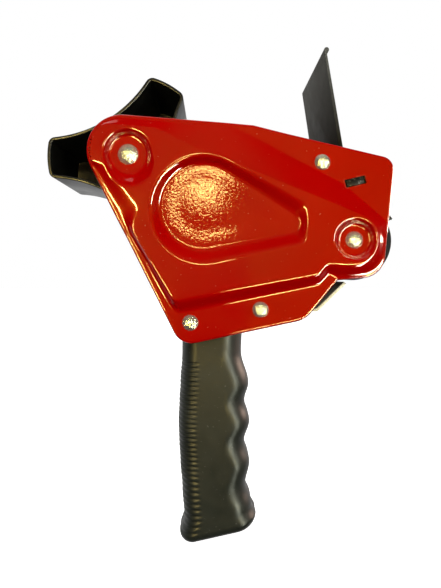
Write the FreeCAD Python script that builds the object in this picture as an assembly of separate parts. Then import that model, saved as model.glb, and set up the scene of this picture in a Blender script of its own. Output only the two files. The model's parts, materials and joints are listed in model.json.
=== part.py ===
import FreeCAD, Part
import math
import os

# Hand-held packing-tape dispenser, millimetres.
# +X points to the application roller, +Z up with the grip hanging down, +Y across the tape.
# The origin is on the tape hub's axis, in the middle plane of the tape.

V = FreeCAD.Vector
ACROSS = V(0, 1, 0)

# ---- frame: two steel side plates held apart across the tape ----
SHEET = 1.2
INNER_HALF = 27.0
OUTER_HALF = INNER_HALF + SHEET
EMBOSS = 3.0

# Side plate outline, corner by corner: x, z, corner radius.
PLATE_OUTLINE = [
    (-29.9, 20.1, 16.1),
    (57.6, 13.2, 3.0),
    (122.4, -2.1, 6.0),
    (117.4, -56.0, 11.0),
    (96.1, -57.9, 0.0),
    (81.5, -76.0, 12.0),
    (24.2, -88.2, 9.2),
]
# Raised field pressed out of the near plate, same form.
FIELD_OUTLINE = [
    (-20.0, 13.5, 13.0),
    (30.0, 6.0, 20.0),
    (117.0, -29.5, 5.0),
    (116.3, -53.2, 11.5),
    (91.5, -53.2, 3.0),
    (88.0, -57.8, 2.0),
    (20.5, -68.5, 3.0),
]
TEARDROP_BIG = (34.9, -25.0, 21.0)
TEARDROP_TIP = (77.0, -34.0, 5.0)
HUB_DIMPLE_RADIUS = 8.6
AXLE_DIMPLE_RADIUS = 8.2
# The far plate leaves the tape roll free, so that it loads from that side.
ROLL_CLEAR_RADIUS = 64.0

# ---- fasteners through both plates ----
GRIP_SCREW_BACK = (28.5, -77.3)
GRIP_SCREW_FRONT = (60.7, -71.3)
HEAD_SCREW = (89.1, -3.6)
PLATE_SCREWS = [GRIP_SCREW_BACK, GRIP_SCREW_FRONT, HEAD_SCREW]
SCREW_RADIUS = 2.5
SCREW_HEAD_RADIUS = 3.8
SCREW_HEAD_HEIGHT = 2.4
RECESS_WIDTH = 0.9
RECESS_SPAN = 4.0
RECESS_DEPTH = 1.2
WASHER_RADIUS = 5.0
WASHER_THICK = 1.0
NUT_FLATS = 8.0
NUT_HEIGHT = 4.0
SPACER_RADIUS = 4.2

# ---- tape hub on its axle ----
HUB_TIP_RADIUS = 38.0
HUB_SIDE_RADIUS = 57.8
HUB_SIDE_DISTANCE = 77.6
HUB_SIDE_ANGLES = [1.4, 121.4, 241.4]
HUB_CORNER_RADIUS = 3.4
HUB_WALL = 1.6
HUB_NEAR = -24.2
HUB_RIM = -25.9
HUB_FAR = 17.8
HUB_WEB = 2.0
BARREL_RADIUS = 8.0
BUSHING_RADIUS = 5.5
RIB_THICK = 1.6
HUB_AXLE_RADIUS = 4.0
RIVET_RADIUS = 3.0
HUB_HEAD_RADIUS = 4.8
HUB_HEAD_HEIGHT = 2.6
AXLE_COLLAR_RADIUS = 7.0
AXLE_COLLAR_THICK = 1.6
RUNNING_GAP = 0.06
SIDE_GAP = 0.1
BRAKE_RADIUS = 10.0
BRAKE_THICK = 1.6
PRESSURE_RADIUS = 9.0
PRESSURE_THICK = 1.0
DISC_SPRING_RADIUS = 8.0
DISC_SPRING_INNER = 4.3
DISC_SPRING_THICK = 0.6
DISC_SPRING_RISE = 1.2
KNOB_RADIUS = 11.0
KNOB_LENGTH = 10.0
KNOB_FLUTES = 12
KNOB_FLUTE_RADIUS = 1.6
KNOB_INSERT_RADIUS = 6.0

# ---- application roller ----
ROLLER_AXIS = (103.7, -39.3)
ROLLER_RADIUS = 18.5
ROLLER_HALF = 25.0
SLEEVE_THICK = 4.5
CORE_RIM = 2.0
CORE_BOSS_RADIUS = 8.0
CORE_WEB_HALF = 1.5
ROLLER_BUSHING_RADIUS = 6.0
ROLLER_BUSHING_LENGTH = 12.0
ROLLER_BUSHING_FLANGE = 7.5
ROLLER_BUSHING_FLANGE_THICK = 0.8
ROLLER_AXLE_RADIUS = 4.0
AXLE_END_RADIUS = 3.0
AXLE_HEAD_RADIUS = 4.0
AXLE_HEAD_HEIGHT = 2.4
AXLE_NUT_FLATS = 10.0
AXLE_NUT_HEIGHT = 5.0

# ---- cutter: a folded holder whose tabs sit in slots of both plates ----
HOLDER_CENTRE = (104.3, -12.6)
HOLDER_SLOPE = 13.0
HOLDER_LENGTH = 8.0
HOLDER_THICK = 2.75
HOLDER_HALF = 26.4
TAB_HALF = 28.0
SLOT_LENGTH = 9.7
SLOT_HEIGHT = 3.7
BLADE_START = (108.0, -16.0)
BLADE_SLOPE = 41.9
BLADE_LENGTH = 20.0
BLADE_HALF = 24.5
BLADE_THICK = 1.0
TOOTH_COUNT = 20
TOOTH_DEPTH = 2.4
LIP_BACK = -3.5
LIP_FRONT = 8.0
LIP_THICK = 2.0
RIVET_PLACE = 4.0
BLADE_RIVET_RADIUS = 1.5
BLADE_RIVET_HEAD = 2.6
BLADE_RIVET_HEAD_THICK = 0.9
BLADE_RIVET_PITCH = 16.0

# ---- wiper flap, hinged on the holder's ears ----
WIPER_AXIS = (100.2, -7.0)
WIPER_LEAN = 9.1
WIPER_LENGTH = 58.2
WIPER_HALF = 25.5
WIPER_ROOT_THICK = 2.0
WIPER_TIP_THICK = 1.0
WIPER_SHOULDER = 4.5
WIPER_BEAD_RADIUS = 1.15
PIN_RADIUS = 1.25
KNUCKLE_RADIUS = 2.4
KNUCKLE_HALF = 24.3
SPRING_GAP_HALF = 4.0
EAR_RADIUS = 2.8
EAR_THICK = 1.8
SPRING_WIRE_RADIUS = 0.4
SPRING_LEG_RADIUS = 0.36
SPRING_COIL_RADIUS = 1.9
SPRING_COILS = 5
SPRING_LONG_LEG = 12.0
SPRING_SHORT_LEG = 3.2

# ---- tape guide under the roller ----
GUIDE_TOP = (100.35, -59.0)
GUIDE_BEND = (87.4, -71.7)
GUIDE_BACK = (71.5, -71.7)
GUIDE_THICK = 1.3
GUIDE_HALF = 25.5
GUIDE_SCREW_X = 77.5
GUIDE_SCREW_Y = 15.0
GUIDE_SCREW_RADIUS = 1.5
GUIDE_SCREW_LENGTH = 6.0
GUIDE_SCREW_HEAD_RADIUS = 2.8
GUIDE_SCREW_HEAD_HEIGHT = 1.6

# ---- pistol grip in two shells, split in the middle plane ----
GRIP_HALF = 14.5
GRIP_WALL = 3.0
YOKE_RADIUS = 8.0
NOSE_FRONT = 84.0
NOSE_TOP = -64.0
# Side view of the grip at its swells and hollows, going down: z, back x, front x.
GRIP_LEVELS = [
    (-80.0, 23.4, 53.9),
    (-94.0, 23.3, 53.4),
    (-110.2, 22.3, 57.1),
    (-118.8, 21.8, 55.1),
    (-129.3, 21.4, 57.6),
    (-139.4, 21.7, 55.0),
    (-150.1, 22.3, 57.6),
    (-161.3, 23.3, 55.6),
    (-172.3, 24.3, 58.6),
    (-180.4, 23.4, 61.3),
    (-187.0, 21.2, 56.5),
    (-194.0, 20.4, 50.0),
]
GRIP_STEPS = 4
GRIP_EDGE_RADIUS = 7.0
# The butt is cut off in a slanted plane through this point.
BUTT_POINT = (53.0, -183.2)
BUTT_SLOPE = 13.5
# Hollow inside the grip: x, z, corner radius.
GRIP_HOLLOW = [
    (27.5, -96.0, 4.0),
    (49.5, -96.0, 4.0),
    (51.0, -166.0, 4.0),
    (29.0, -166.0, 4.0),
]
TIE_SCREW = (41.0, -175.5)
TIE_SCREW_RADIUS = 2.0
TIE_HEAD_RADIUS = 3.6
TIE_HEAD_SEAT = 10.0
TIE_HEAD_HEIGHT = 2.2
TIE_DEPTH = 9.0
BORE_GAP = 0.1


# ---- geometry helpers ----
def at(place, y):
    """Point of the XZ plane, given as x, z, at depth y."""
    return V(place[0], y, place[1])


def turn(shape, degrees, place):
    """Shape turned about an axis along Y through a place in the XZ plane."""
    turned = shape.copy()
    turned.rotate(at(place, 0), ACROSS, degrees)
    return turned


def mirrored(shape):
    """Shape mirrored in the middle plane of the tape."""
    return shape.mirror(V(0, 0, 0), ACROSS)


def cylinder(place, radius, y0, y1):
    """Cylinder along Y."""
    return Part.makeCylinder(radius, y1 - y0, at(place, y0), ACROSS)


def ring(place, outer, inner, y0, y1):
    """Tube along Y."""
    return cylinder(place, outer, y0, y1).cut(cylinder(place, inner, y0, y1))


def rounded_face(corners, y):
    """Face in the XZ plane from x, z, radius corners joined by tangent arcs."""
    arcs = []
    count = len(corners)
    for index, (x, z, radius) in enumerate(corners):
        here = V(x, y, z)
        before = at(corners[index - 1], y) - here
        after = at(corners[(index + 1) % count], y) - here
        half = before.getAngle(after) / 2
        before.normalize()
        after.normalize()
        reach = radius / math.tan(half)
        bisector = (before + after).normalize()
        middle = here + bisector * (radius / math.sin(half) - radius)
        arcs.append((here + before * reach, middle, here + after * reach, radius))
    edges = []
    for index, (start, middle, end, radius) in enumerate(arcs):
        if radius > 0:
            edges.append(Part.Arc(start, middle, end).toShape())
        edges.append(Part.makeLine(end, arcs[(index + 1) % count][0]))
    return Part.Face(Part.Wire(edges))


def hull_face(first, second, y):
    """Face around two circles, each given as x, z, radius."""
    big = at(first, y)
    small = at(second, y)
    along = small - big
    span = along.Length
    along.normalize()
    side = along.cross(ACROSS)
    lean = (first[2] - second[2]) / span
    rise = math.sqrt(1 - lean * lean)
    up = along * lean + side * rise
    down = along * lean - side * rise
    edges = [
        Part.Arc(big + up * first[2], big - along * first[2], big + down * first[2]).toShape(),
        Part.makeLine(big + down * first[2], small + down * second[2]),
        Part.Arc(small + down * second[2], small + along * second[2],
                 small + up * second[2]).toShape(),
        Part.makeLine(small + up * second[2], big + up * first[2]),
    ]
    return Part.Face(Part.Wire(edges))


def slab(face, y0, y1):
    """Solid between two depths over a face of the XZ plane."""
    moved = face.copy()
    moved.translate(V(0, y0 - face.BoundBox.YMin, 0))
    return moved.extrude(V(0, y1 - y0, 0))


def box_about(place, length, height, y0, y1, slope):
    """Box across the tape, centred on a place and rising to the right by slope degrees."""
    corner = V(place[0] - length / 2, y0, place[1] - height / 2)
    return turn(Part.makeBox(length, y1 - y0, height, corner), -slope, place)


def hexagon(place, flats, y0, y1):
    """Hexagonal prism along Y."""
    reach = flats / math.sqrt(3)
    points = []
    for step in range(7):
        angle = math.radians(60 * step)
        x = place[0] + reach * math.cos(angle)
        z = place[1] + reach * math.sin(angle)
        points.append(V(x, y0, z))
    return Part.Face(Part.makePolygon(points)).extrude(V(0, y1 - y0, 0))


def dome(place, radius, height, y):
    """Domed head standing out towards -Y from depth y."""
    ball_radius = (radius * radius + height * height) / (2 * height)
    ball = Part.makeSphere(ball_radius, at(place, y + ball_radius - height))
    return ball.common(cylinder(place, ball_radius, y - height, y))


def crossed(head, place, y):
    """Head with a cross recess cut from its top, which is at depth y."""
    cut = head
    for length, height in ((RECESS_SPAN, RECESS_WIDTH), (RECESS_WIDTH, RECESS_SPAN)):
        cut = cut.cut(box_about(place, length, height, y, y + RECESS_DEPTH, 0))
    return cut


def save(name, solids):
    """Write one sub-part, or a group of identical pieces."""
    shape = solids[0] if len(solids) == 1 else Part.makeCompound(solids)
    shape.exportStep(os.path.join("parts", name + ".step"))


# ---- frame ----
def plate_holes(y0, y1):
    """Holes that both side plates share."""
    holes = [cylinder(place, SCREW_RADIUS + BORE_GAP, y0, y1) for place in PLATE_SCREWS]
    holes.append(cylinder(ROLLER_AXIS, AXLE_END_RADIUS, y0, y1))
    holes.append(box_about(HOLDER_CENTRE, SLOT_LENGTH, SLOT_HEIGHT, y0, y1, HOLDER_SLOPE))
    return holes


def side_plate():
    """Near plate with a raised field, a teardrop panel and two dimples pressed back in."""
    top = -OUTER_HALF - EMBOSS
    field = rounded_face(FIELD_OUTLINE, 0)
    pockets = [
        hull_face(TEARDROP_BIG, TEARDROP_TIP, 0),
        Part.Face(Part.Wire(Part.makeCircle(HUB_DIMPLE_RADIUS, V(0, 0, 0), ACROSS))),
        Part.Face(Part.Wire(Part.makeCircle(AXLE_DIMPLE_RADIUS, at(ROLLER_AXIS, 0), ACROSS))),
    ]
    plate = slab(rounded_face(PLATE_OUTLINE, 0), -OUTER_HALF, -INNER_HALF)
    raised = slab(field, top, -OUTER_HALF)
    hollow = slab(field.makeOffset2D(-SHEET), top + SHEET, -INNER_HALF)
    for pocket in pockets:
        raised = raised.cut(slab(pocket, top, -OUTER_HALF))
        hollow = hollow.cut(slab(pocket.makeOffset2D(SHEET), top + SHEET, -INNER_HALF))
    plate = plate.fuse(raised).cut(hollow).removeSplitter()
    plate = plate.cut(cylinder((0, 0), RIVET_RADIUS, top, 0))
    return plate.cut(Part.makeCompound(plate_holes(top, 0)))


def far_plate():
    """Plain far plate, cut away round the tape roll."""
    plate = slab(rounded_face(PLATE_OUTLINE, 0), INNER_HALF, OUTER_HALF)
    plate = plate.cut(cylinder((0, 0), ROLL_CLEAR_RADIUS, INNER_HALF, OUTER_HALF))
    return plate.cut(Part.makeCompound(plate_holes(INNER_HALF, OUTER_HALF)))


def plate_screw(place):
    """Domed cross-recess screw through both plates."""
    tail = OUTER_HALF + WASHER_THICK + NUT_HEIGHT + 0.6
    head = dome(place, SCREW_HEAD_RADIUS, SCREW_HEAD_HEIGHT, -OUTER_HALF)
    head = crossed(head, place, -OUTER_HALF - SCREW_HEAD_HEIGHT)
    return head.fuse(cylinder(place, SCREW_RADIUS, -OUTER_HALF, tail))


def plate_washer(place):
    return ring(place, WASHER_RADIUS, SCREW_RADIUS, OUTER_HALF, OUTER_HALF + WASHER_THICK)


def plate_nut(place):
    seat = OUTER_HALF + WASHER_THICK
    nut = hexagon(place, NUT_FLATS, seat, seat + NUT_HEIGHT)
    return nut.cut(cylinder(place, SCREW_RADIUS, seat, seat + NUT_HEIGHT))


def head_spacer():
    """Tube that holds the heads of the plates apart."""
    return ring(HEAD_SCREW, SPACER_RADIUS, SCREW_RADIUS + BORE_GAP, -INNER_HALF, INNER_HALF)


# ---- hub and brake ----
def hub_side_faces(grow):
    """Circles that hollow the hub's three sides, grown by a wall's thickness."""
    faces = []
    for degrees in HUB_SIDE_ANGLES:
        angle = math.radians(degrees)
        centre = V(HUB_SIDE_DISTANCE * math.cos(angle), 0, HUB_SIDE_DISTANCE * math.sin(angle))
        circle = Part.makeCircle(HUB_SIDE_RADIUS + grow, centre, ACROSS)
        faces.append(Part.Face(Part.Wire(circle)))
    return faces


def hub_block(inset, y0, y1):
    """Three-armed prism, inset from the hub's outside, with rounded arm corners."""
    disc = Part.Face(Part.Wire(Part.makeCircle(HUB_TIP_RADIUS - inset, V(0, 0, 0), ACROSS)))
    block = slab(disc, y0, y1)
    for face in hub_side_faces(inset):
        block = block.cut(slab(face, y0, y1))
    far_out = HUB_TIP_RADIUS - inset - 0.5
    corners = []
    for edge in block.Edges:
        middle = edge.BoundBox.Center
        along_y = edge.BoundBox.YLength > (y1 - y0) - 0.1
        if along_y and math.hypot(middle.x, middle.z) > far_out:
            corners.append(edge)
    return block.makeFillet(HUB_CORNER_RADIUS - inset, corners)


def tape_hub():
    """Three-armed tape core holder, open at the near end, on a central barrel."""
    hub = hub_block(0, HUB_RIM, HUB_FAR)
    inside = hub_block(HUB_WALL, HUB_RIM, HUB_FAR - HUB_WEB)
    inside = inside.cut(cylinder((0, 0), BARREL_RADIUS, HUB_NEAR, HUB_FAR))
    reach = HUB_SIDE_DISTANCE - HUB_SIDE_RADIUS
    for degrees in HUB_SIDE_ANGLES:
        corner = V(0, HUB_NEAR, -RIB_THICK / 2)
        rib = Part.makeBox(reach, HUB_FAR - HUB_NEAR, RIB_THICK, corner)
        inside = inside.cut(turn(rib, -degrees, (0, 0)))
    hub = hub.cut(inside)
    return hub.cut(cylinder((0, 0), BUSHING_RADIUS, HUB_NEAR, HUB_FAR))


def hub_bushing():
    inner = HUB_AXLE_RADIUS + RUNNING_GAP
    return ring((0, 0), BUSHING_RADIUS, inner, HUB_NEAR, HUB_FAR)


def stack_levels():
    """Depths of the brake parts on the axle, going out from the hub."""
    brake = HUB_FAR + SIDE_GAP
    pressure = brake + BRAKE_THICK
    springs = pressure + PRESSURE_THICK
    knob = springs + 2 * (DISC_SPRING_RISE + DISC_SPRING_THICK)
    return brake, pressure, springs, knob


def hub_axle():
    """Axle riveted to the near plate, with a smooth domed head and an inner collar."""
    knob = stack_levels()[3]
    end = knob + KNOB_LENGTH - 1.5
    axle = dome((0, 0), HUB_HEAD_RADIUS, HUB_HEAD_HEIGHT, -OUTER_HALF)
    axle = axle.fuse(cylinder((0, 0), RIVET_RADIUS, -OUTER_HALF, -INNER_HALF))
    axle = axle.fuse(cylinder((0, 0), HUB_AXLE_RADIUS, -INNER_HALF, end))
    collar_end = -INNER_HALF + AXLE_COLLAR_THICK
    return axle.fuse(cylinder((0, 0), AXLE_COLLAR_RADIUS, -INNER_HALF, collar_end))


def hub_washer():
    """Slip washer between the collar and the hub."""
    start = -INNER_HALF + AXLE_COLLAR_THICK
    return ring((0, 0), AXLE_COLLAR_RADIUS, HUB_AXLE_RADIUS, start, HUB_NEAR - SIDE_GAP)


def brake_washer():
    start = stack_levels()[0]
    return ring((0, 0), BRAKE_RADIUS, HUB_AXLE_RADIUS, start, start + BRAKE_THICK)


def pressure_washer():
    start = stack_levels()[1]
    return ring((0, 0), PRESSURE_RADIUS, HUB_AXLE_RADIUS, start, start + PRESSURE_THICK)


def cone_washer(y, rise):
    """Conical disc spring, its outer edge at depth y and its bore at y + rise."""
    points = [
        V(DISC_SPRING_RADIUS, y, 0),
        V(DISC_SPRING_RADIUS, y + DISC_SPRING_THICK, 0),
        V(DISC_SPRING_INNER, y + rise + DISC_SPRING_THICK, 0),
        V(DISC_SPRING_INNER, y + rise, 0),
        V(DISC_SPRING_RADIUS, y, 0),
    ]
    return Part.Face(Part.makePolygon(points)).revolve(V(0, 0, 0), ACROSS, 360)


def disc_springs():
    """Two disc springs back to back, bore to bore."""
    start = stack_levels()[2]
    height = DISC_SPRING_RISE + DISC_SPRING_THICK
    lower = cone_washer(start, DISC_SPRING_RISE)
    upper = cone_washer(start + height + DISC_SPRING_RISE, -DISC_SPRING_RISE)
    return [lower, upper]


def knob_insert():
    knob = stack_levels()[3] + SIDE_GAP
    inner = HUB_AXLE_RADIUS + RUNNING_GAP
    return ring((0, 0), KNOB_INSERT_RADIUS, inner, knob, knob + KNOB_LENGTH / 2)


def tension_knob():
    """Fluted brake knob, closed at its outer end."""
    start = stack_levels()[3] + SIDE_GAP
    end = start + KNOB_LENGTH
    knob = cylinder((0, 0), KNOB_RADIUS, start, end)
    knob = knob.cut(cylinder((0, 0), KNOB_INSERT_RADIUS, start, start + KNOB_LENGTH / 2))
    knob = knob.cut(cylinder((0, 0), HUB_AXLE_RADIUS + BORE_GAP, start, end - 1.2))
    for flute in range(KNOB_FLUTES):
        angle = 2 * math.pi * flute / KNOB_FLUTES
        place = (KNOB_RADIUS * math.cos(angle), KNOB_RADIUS * math.sin(angle))
        knob = knob.cut(cylinder(place, KNOB_FLUTE_RADIUS, start, end))
    return knob


# ---- roller ----
def roller_axle():
    """Shouldered axle between the plates, domed near end, threaded far end."""
    axle = dome(ROLLER_AXIS, AXLE_HEAD_RADIUS, AXLE_HEAD_HEIGHT, -OUTER_HALF)
    axle = crossed(axle, ROLLER_AXIS, -OUTER_HALF - AXLE_HEAD_HEIGHT)
    end = OUTER_HALF + AXLE_NUT_HEIGHT + 0.8
    axle = axle.fuse(cylinder(ROLLER_AXIS, AXLE_END_RADIUS, -OUTER_HALF, end))
    return axle.fuse(cylinder(ROLLER_AXIS, ROLLER_AXLE_RADIUS, -INNER_HALF, INNER_HALF))


def axle_nut():
    nut = hexagon(ROLLER_AXIS, AXLE_NUT_FLATS, OUTER_HALF, OUTER_HALF + AXLE_NUT_HEIGHT)
    bore = cylinder(ROLLER_AXIS, AXLE_END_RADIUS, OUTER_HALF, OUTER_HALF + AXLE_NUT_HEIGHT)
    return nut.cut(bore)


def roller_core():
    """Moulded core: rim, boss and a middle web."""
    rim = ROLLER_RADIUS - SLEEVE_THICK
    core = cylinder(ROLLER_AXIS, rim, -ROLLER_HALF, ROLLER_HALF)
    for y0, y1 in ((-ROLLER_HALF, -CORE_WEB_HALF), (CORE_WEB_HALF, ROLLER_HALF)):
        core = core.cut(ring(ROLLER_AXIS, rim - CORE_RIM, CORE_BOSS_RADIUS, y0, y1))
    bore = ROLLER_BUSHING_RADIUS
    return core.cut(cylinder(ROLLER_AXIS, bore, -ROLLER_HALF, ROLLER_HALF))


def roller_sleeve():
    inner = ROLLER_RADIUS - SLEEVE_THICK
    return ring(ROLLER_AXIS, ROLLER_RADIUS, inner, -ROLLER_HALF, ROLLER_HALF)


def roller_bushing():
    """Flanged bushing in the near end of the core."""
    inner = ROLLER_AXLE_RADIUS + RUNNING_GAP
    end = -ROLLER_HALF + ROLLER_BUSHING_LENGTH
    flange = -ROLLER_HALF - ROLLER_BUSHING_FLANGE_THICK
    body = cylinder(ROLLER_AXIS, ROLLER_BUSHING_RADIUS, -ROLLER_HALF, end)
    body = body.fuse(cylinder(ROLLER_AXIS, ROLLER_BUSHING_FLANGE, flange, -ROLLER_HALF))
    return body.cut(cylinder(ROLLER_AXIS, inner, flange, end))


# ---- cutter ----
def on_blade(shape):
    """Shape drawn flat, x along the blade and z out of it, moved to the blade's place."""
    placed = shape.copy()
    placed.translate(at(BLADE_START, 0))
    return turn(placed, BLADE_SLOPE, BLADE_START)


def rivet_depths():
    return [-BLADE_RIVET_PITCH, 0, BLADE_RIVET_PITCH]


def rivet_column(radius, z0, z1):
    """Three rivet shanks or holes, drawn flat."""
    shapes = []
    for y in rivet_depths():
        shapes.append(Part.makeCylinder(radius, z1 - z0, V(RIVET_PLACE, y, z0)))
    return shapes


def blade_holder():
    """Bar with end tabs, a lip that carries the blade and two ears for the wiper's pin."""
    holder = box_about(HOLDER_CENTRE, HOLDER_LENGTH, HOLDER_THICK, -TAB_HALF, TAB_HALF,
                       HOLDER_SLOPE)
    lip_span = LIP_FRONT - LIP_BACK
    lip = Part.makeBox(lip_span, 2 * ROLLER_HALF, LIP_THICK,
                       V(LIP_BACK, -ROLLER_HALF, BLADE_THICK / 2))
    holder = holder.fuse(on_blade(lip))
    foot = (HOLDER_CENTRE[0] - 1.0, HOLDER_CENTRE[1], HOLDER_THICK / 2)
    knuckle = (WIPER_AXIS[0], WIPER_AXIS[1], EAR_RADIUS)
    ear = slab(hull_face(knuckle, foot, 0), -HOLDER_HALF, -HOLDER_HALF + EAR_THICK)
    holder = holder.fuse([ear, mirrored(ear)])
    holder = holder.cut(cylinder(WIPER_AXIS, PIN_RADIUS, -HOLDER_HALF, HOLDER_HALF))
    z1 = BLADE_THICK / 2 + LIP_THICK
    holes = rivet_column(BLADE_RIVET_RADIUS, 0, z1)
    return holder.cut(on_blade(Part.makeCompound(holes))).removeSplitter()


def cutter_blade():
    """Serrated strip, its teeth at the far end of x."""
    root = BLADE_LENGTH - TOOTH_DEPTH
    pitch = 2 * BLADE_HALF / TOOTH_COUNT
    points = [V(0, -BLADE_HALF, 0), V(root, -BLADE_HALF, 0)]
    for tooth in range(TOOTH_COUNT):
        y = -BLADE_HALF + pitch * tooth
        points.append(V(BLADE_LENGTH, y + pitch / 2, 0))
        points.append(V(root, y + pitch, 0))
    points.append(V(0, BLADE_HALF, 0))
    points.append(points[0])
    blade = Part.Face(Part.makePolygon(points)).extrude(V(0, 0, BLADE_THICK))
    blade.translate(V(0, 0, -BLADE_THICK / 2))
    holes = rivet_column(BLADE_RIVET_RADIUS, -BLADE_THICK, BLADE_THICK)
    return on_blade(blade.cut(Part.makeCompound(holes)))


def blade_rivets():
    """Rivets through blade and lip, headed on both sides."""
    bottom = -BLADE_THICK / 2
    top = BLADE_THICK / 2 + LIP_THICK
    rivets = []
    for y in rivet_depths():
        rivet = Part.makeCylinder(BLADE_RIVET_RADIUS, top - bottom, V(RIVET_PLACE, y, bottom))
        for z in (bottom - BLADE_RIVET_HEAD_THICK, top):
            head = Part.makeCylinder(BLADE_RIVET_HEAD, BLADE_RIVET_HEAD_THICK,
                                     V(RIVET_PLACE, y, z))
            rivet = rivet.fuse(head)
        rivets.append(on_blade(rivet))
    return rivets


# ---- wiper ----
def lean(shape):
    """Shape drawn standing straight up from the wiper's pin, leaned back to rest."""
    placed = shape.copy()
    placed.translate(at(WIPER_AXIS, 0))
    return turn(placed, -WIPER_LEAN, WIPER_AXIS)


def wiper_flap():
    """Tapering flap with a beaded tip, shouldered between the holder's ears."""
    root = WIPER_ROOT_THICK / 2
    tip = WIPER_TIP_THICK / 2
    top = WIPER_LENGTH - WIPER_BEAD_RADIUS
    profile = Part.makePolygon([
        V(-root, 0, WIPER_SHOULDER), V(root, 0, WIPER_SHOULDER),
        V(tip, 0, top), V(-tip, 0, top), V(-root, 0, WIPER_SHOULDER)])
    blade = slab(Part.Face(profile), -WIPER_HALF, WIPER_HALF)
    bead_place = (WIPER_BEAD_RADIUS - tip, top)
    blade = blade.fuse(cylinder(bead_place, WIPER_BEAD_RADIUS, -WIPER_HALF, WIPER_HALF))
    for y0, y1 in ((-KNUCKLE_HALF, -SPRING_GAP_HALF), (SPRING_GAP_HALF, KNUCKLE_HALF)):
        neck = Part.makeBox(WIPER_ROOT_THICK, y1 - y0, WIPER_SHOULDER, V(-root, y0, 0))
        blade = blade.fuse([neck, cylinder((0, 0), KNUCKLE_RADIUS, y0, y1)])
    bore = cylinder((0, 0), PIN_RADIUS + RUNNING_GAP, -WIPER_HALF, WIPER_HALF)
    return lean(blade.cut(bore).removeSplitter())


def wiper_pin():
    return cylinder(WIPER_AXIS, PIN_RADIUS, -HOLDER_HALF, HOLDER_HALF)


def wiper_spring():
    """Close-wound torsion spring on the pin, one leg behind the flap, one on the bar."""
    outer = SPRING_COIL_RADIUS + SPRING_WIRE_RADIUS
    inner = SPRING_COIL_RADIUS - SPRING_WIRE_RADIUS
    half = SPRING_COILS * SPRING_WIRE_RADIUS
    coil = ring((0, 0), outer, inner, -half, half)
    end = half - SPRING_WIRE_RADIUS
    long_leg = Part.makeCylinder(SPRING_LEG_RADIUS, SPRING_LONG_LEG,
                                 V(-SPRING_COIL_RADIUS, end, 0))
    short_leg = Part.makeCylinder(SPRING_LEG_RADIUS, SPRING_SHORT_LEG,
                                  V(SPRING_COIL_RADIUS, -end, 0), V(0, 0, -1))
    return lean(coil.fuse([long_leg, short_leg]))


# ---- tape guide ----
def tape_guide():
    """Folded zinc plate, one leg under the roller and one screwed under the grip's nose."""
    run = math.atan2(GUIDE_TOP[1] - GUIDE_BEND[1], GUIDE_TOP[0] - GUIDE_BEND[0])
    side = (-math.sin(run) * GUIDE_THICK / 2, math.cos(run) * GUIDE_THICK / 2)
    half = GUIDE_THICK / 2
    shift = half * math.tan(run / 2)
    corners = [
        (GUIDE_TOP[0] + side[0], GUIDE_TOP[1] + side[1], 0.0),
        (GUIDE_BEND[0] - shift, GUIDE_BEND[1] + half, 2.0),
        (GUIDE_BACK[0], GUIDE_BACK[1] + half, 0.0),
        (GUIDE_BACK[0], GUIDE_BACK[1] - half, 0.0),
        (GUIDE_BEND[0] + shift, GUIDE_BEND[1] - half, 2.0 + GUIDE_THICK),
        (GUIDE_TOP[0] - side[0], GUIDE_TOP[1] - side[1], 0.0),
    ]
    guide = slab(rounded_face(corners, 0), -GUIDE_HALF, GUIDE_HALF)
    for y in (-GUIDE_SCREW_Y, GUIDE_SCREW_Y):
        foot = V(GUIDE_SCREW_X, y, GUIDE_BACK[1] - GUIDE_THICK)
        guide = guide.cut(Part.makeCylinder(GUIDE_SCREW_RADIUS, 2 * GUIDE_THICK, foot))
    return guide


def guide_screw(y):
    """Pan-head screw driven up into the grip's nose."""
    seat = GUIDE_BACK[1] - GUIDE_THICK / 2
    shank = Part.makeCylinder(GUIDE_SCREW_RADIUS, GUIDE_SCREW_LENGTH,
                              V(GUIDE_SCREW_X, y, seat))
    head = Part.makeCylinder(GUIDE_SCREW_HEAD_RADIUS, GUIDE_SCREW_HEAD_HEIGHT,
                             V(GUIDE_SCREW_X, y, seat - GUIDE_SCREW_HEAD_HEIGHT))
    return shank.fuse(head)


# ---- grip ----
def grip_levels():
    """Levels of the grip's sections, eased between one swell or hollow and the next."""
    levels = [GRIP_LEVELS[0]]
    for upper, lower in zip(GRIP_LEVELS, GRIP_LEVELS[1:]):
        for step in range(1, GRIP_STEPS + 1):
            part = step / GRIP_STEPS
            ease = (1 - math.cos(math.pi * part)) / 2
            z = upper[0] + (lower[0] - upper[0]) * part
            back = upper[1] + (lower[1] - upper[1]) * ease
            front = upper[2] + (lower[2] - upper[2]) * ease
            levels.append((z, back, front))
    return levels


def grip_section(z, back, front):
    """Level section of the near shell: straight at the middle plane, rounded outside."""
    centres = (back + GRIP_EDGE_RADIUS, front - GRIP_EDGE_RADIUS)
    y = -GRIP_HALF + GRIP_EDGE_RADIUS
    slant = GRIP_EDGE_RADIUS * math.sqrt(0.5)
    edges = [
        Part.makeLine(V(back, 0, z), V(back, y, z)),
        Part.Arc(V(back, y, z), V(centres[0] - slant, y - slant, z),
                 V(centres[0], -GRIP_HALF, z)).toShape(),
        Part.makeLine(V(centres[0], -GRIP_HALF, z), V(centres[1], -GRIP_HALF, z)),
        Part.Arc(V(centres[1], -GRIP_HALF, z), V(centres[1] + slant, y - slant, z),
                 V(front, y, z)).toShape(),
        Part.makeLine(V(front, y, z), V(front, 0, z)),
        Part.makeLine(V(front, 0, z), V(back, 0, z)),
    ]
    return Part.Wire(edges)


def grip_body():
    """Near half of the hand grip, solid, with finger swells and a slanted butt."""
    body = Part.makeLoft([grip_section(*level) for level in grip_levels()], True, True)
    reach = 4 * GRIP_HALF
    waste = Part.makeBox(2 * reach, reach, reach,
                         V(BUTT_POINT[0] - reach, -reach, BUTT_POINT[1] - reach))
    return body.cut(turn(waste, -BUTT_SLOPE, BUTT_POINT))


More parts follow.
